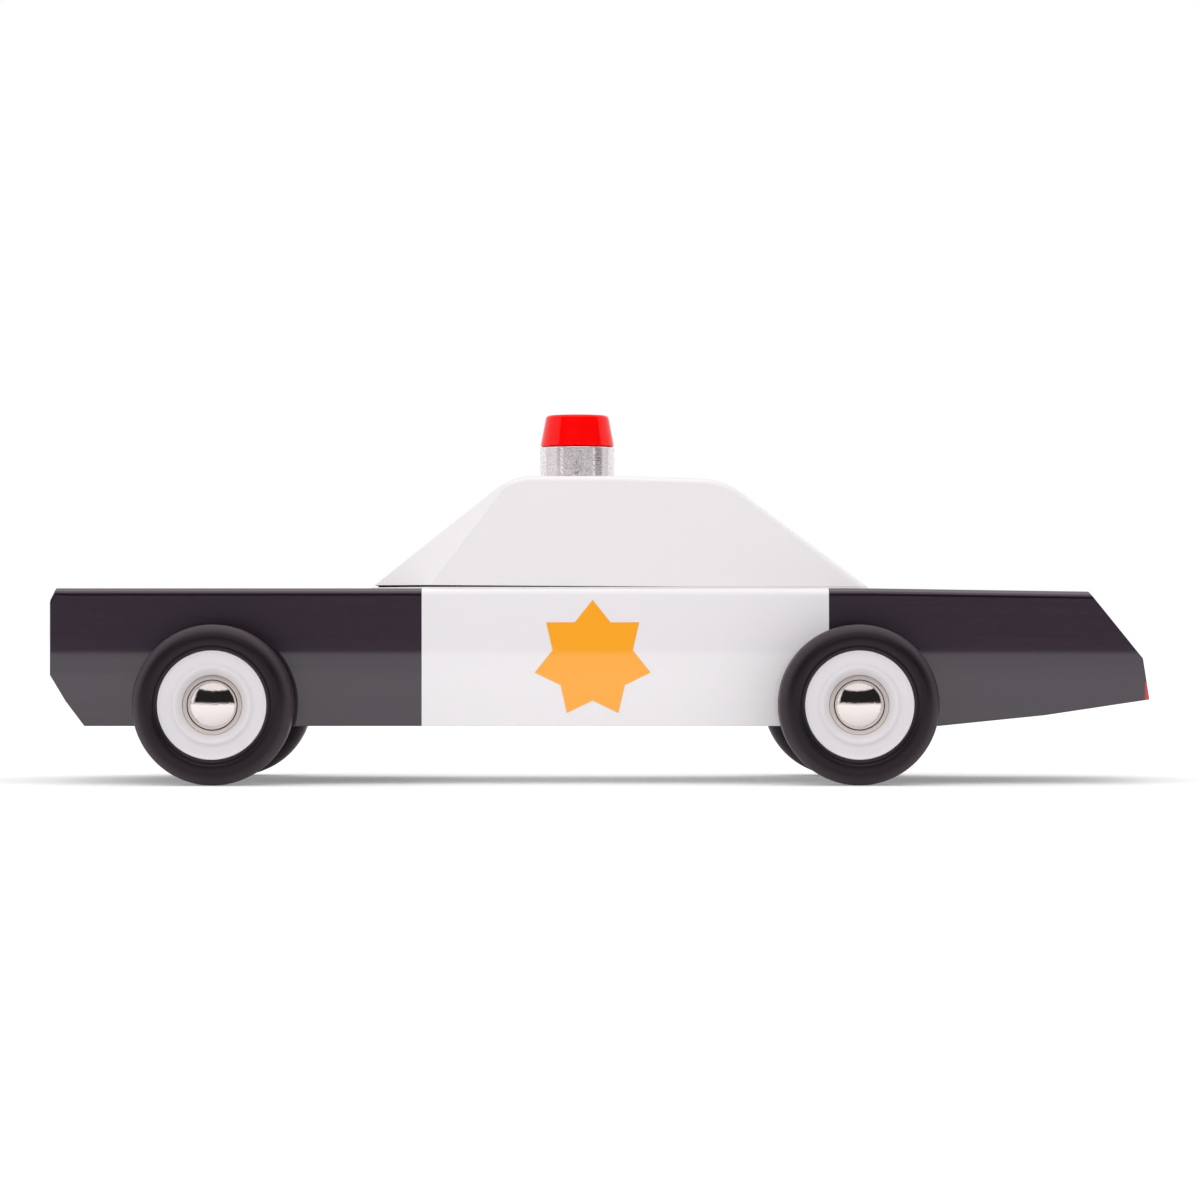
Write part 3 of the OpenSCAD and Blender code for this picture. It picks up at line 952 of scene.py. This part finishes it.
stageSetup = {
    "floorReach": 30.0,  # metres from the car to the floor's edges
    "floorTone": (0.86, 0.86, 0.86, 1.0),
    "floorLift": 0.2,  # how much of its own white the floor shows
    "skyForLight": 1.05,  # strength of the white surround as a lamp
    "skySeen": 1.0,
    "cardTint": (1.0, 0.94, 0.97),
    "curtainRadius": 2.4,
    "curtainRise": (6.0, 46.0),  # degrees above the floor
    "curtainSweep": (-64.0, 83.0),  # degrees to the left and right of the camera
    "curtainSteps": (16, 48),  # up and round
    "curtainTone": 0.02,
    "cardTone": 0.04,
    "cardBox": (-0.2, 0.2, 0.0183, 0.0385),  # left, right, bottom and top, metres
    "cardDistance": 0.847,
    "stripRadius": 1.2,
    "stripHeights": (0.075, 0.138),  # metres
    "stripSteps": 24,
    "stripTones": (  # from and to in degrees, tone
        (-112, -66, 0.74),
        (-66, -54, 0.44),
        (-54, -45, 0.95),
        (-45, 50, 0.47),
        (50, 57, 0.9),
        (57, 82, 0.12),
        (82, 113, 0.69),
    ),
    "topLamp": {"place": (0, 0, 1.2), "size": (0.75, 0.75), "power": 0.3},
    "frontLamp": {"place": (-0.75, -2.1, 1.5), "size": (2.0, 1.5), "power": 9.0},
    "overheadBox": (-0.4, 0.4, -0.32, 0.32),  # left, right, front and back, metres
    "overheadHeight": 1.2,
    "overheadTone": 1.8,
}


def stagePiece(name, bm, material):
    mesh = bpy.data.meshes.new(name)
    bm.to_mesh(mesh)
    bm.free()
    mesh.materials.append(material)
    piece = bpy.data.objects.new(name, mesh)
    bpy.context.scene.collection.objects.link(piece)
    return piece


# rays that should see the plain white surround
def seenRays(sheet):
    rays = [sheet.node("ShaderNodeLightPath", out=o)
            for o in ("Is Camera Ray", "Is Glossy Ray", "Is Transmission Ray")]
    return sheet.node("ShaderNodeClamp", None, {0: rays[0] + rays[1] + rays[2]})


def floorMaterial(setup):
    material = bpy.data.materials.new("paleFloor")
    sheet = Sheet(material)
    plain = sheet.node("ShaderNodeBsdfDiffuse", None, {"Color": setup["floorTone"]})
    strength = seenRays(sheet) * setup["floorLift"]
    lift = sheet.node("ShaderNodeEmission", None, {"Strength": strength})
    both = sheet.node("ShaderNodeAddShader", None, {0: plain, 1: lift})
    sheet.node("ShaderNodeOutputMaterial", None, {"Surface": both})
    return material


def cardMaterial(name, tone):
    material = bpy.data.materials.new(name)
    sheet = Sheet(material)
    colour = shade(stageSetup["cardTint"], tone)
    glow = sheet.node("ShaderNodeEmission", None, {"Color": colour, "Strength": 1.0})
    sheet.node("ShaderNodeOutputMaterial", None, {"Surface": glow})
    return material


# a card that only mirror-like rays see, so it shades reflections and takes no light away
def makeCard(name, bm, tone):
    card = stagePiece(name, bm, cardMaterial(name, tone))
    card.visible_camera = False
    card.visible_diffuse = False
    card.visible_transmission = False
    card.visible_volume_scatter = False
    card.visible_shadow = False


def flatCard(name, corners, tone):
    bm = bmesh.new()
    bm.faces.new([bm.verts.new(corner) for corner in corners])
    makeCard(name, bm, tone)


# sweeps what is drawn in front of the car round it, between two angles in degrees
def sweepRound(bm, start, end, steps):
    turn = Matrix.Rotation(math.radians(start), 3, "Z")
    bmesh.ops.rotate(bm, verts=bm.verts, cent=(0, 0, 0), matrix=turn)
    bmesh.ops.spin(bm, geom=bm.verts[:] + bm.edges[:], cent=(0, 0, 0), axis=(0, 0, 1),
                   angle=math.radians(end - start), steps=steps)


def makeLamp(name, lamp):
    data = bpy.data.lights.new(name, "AREA")
    data.shape = "RECTANGLE"
    data.size, data.size_y = lamp["size"]
    data.energy = lamp["power"]
    made = bpy.data.objects.new(name, data)
    made.location = lamp["place"]
    made.rotation_euler = (-Vector(lamp["place"])).to_track_quat("-Z", "Y").to_euler()
    made.visible_camera = False
    made.visible_glossy = False
    bpy.context.scene.collection.objects.link(made)


def makeFloor(setup):
    bm = bmesh.new()
    bmesh.ops.create_grid(bm, x_segments=1, y_segments=1, size=setup["floorReach"])
    stagePiece("floor", bm, floorMaterial(setup))


# a dark room behind the camera: an arc swept round the car
def makeCurtain(setup):
    bm = bmesh.new()
    low, high = [math.radians(a) for a in setup["curtainRise"]]
    reach = setup["curtainRadius"]
    upSteps, roundSteps = setup["curtainSteps"]
    foot = bm.verts.new((0, -reach * math.cos(low), reach * math.sin(low)))
    bmesh.ops.spin(bm, geom=[foot], cent=(0, 0, 0), axis=(1, 0, 0), angle=low - high,
                   steps=upSteps)
    sweepRound(bm, *setup["curtainSweep"], roundSteps)
    makeCard("darkCurtain", bm, setup["curtainTone"])


# a card beside the camera, and a bright panel overhead for the glints on upper edges
def makePanels(setup):
    x0, x1, z0, z1 = setup["cardBox"]
    y = -setup["cardDistance"]
    flatCard("cameraCard", ((x0, y, z0), (x1, y, z0), (x1, y, z1), (x0, y, z1)),
             setup["cardTone"])
    x0, x1, y0, y1 = setup["overheadBox"]
    z = setup["overheadHeight"]
    flatCard("overheadPanel", ((x0, y0, z), (x1, y0, z), (x1, y1, z), (x0, y1, z)),
             setup["overheadTone"])


# a low ring of grey cards, which the beacon's collar mirrors
def makeStrips(setup):
    for number, (start, end, tone) in enumerate(setup["stripTones"]):
        bm = bmesh.new()
        ends = [bm.verts.new((0, -setup["stripRadius"], z)) for z in setup["stripHeights"]]
        bm.edges.new(ends)
        sweepRound(bm, start, end, setup["stripSteps"])
        makeCard("greyStrip" + str(number), bm, tone)


def makeWorld(setup):
    world = bpy.data.worlds.new("whiteRoom")
    bpy.context.scene.world = world
    sheet = Sheet(world)
    extra = setup["skySeen"] - setup["skyForLight"]
    strength = setup["skyForLight"] + seenRays(sheet) * extra
    sky = sheet.node("ShaderNodeBackground", None, {"Color": (1, 1, 1, 1), "Strength": strength})
    sheet.node("ShaderNodeOutputWorld", None, {"Surface": sky})


makeFloor(stageSetup)
makeCurtain(stageSetup)
makePanels(stageSetup)
makeStrips(stageSetup)
makeLamp("topLamp", stageSetup["topLamp"])
makeLamp("frontLamp", stageSetup["frontLamp"])
makeWorld(stageSetup)
bpy.context.scene.view_settings.view_transform = "Standard"
print("stage set")
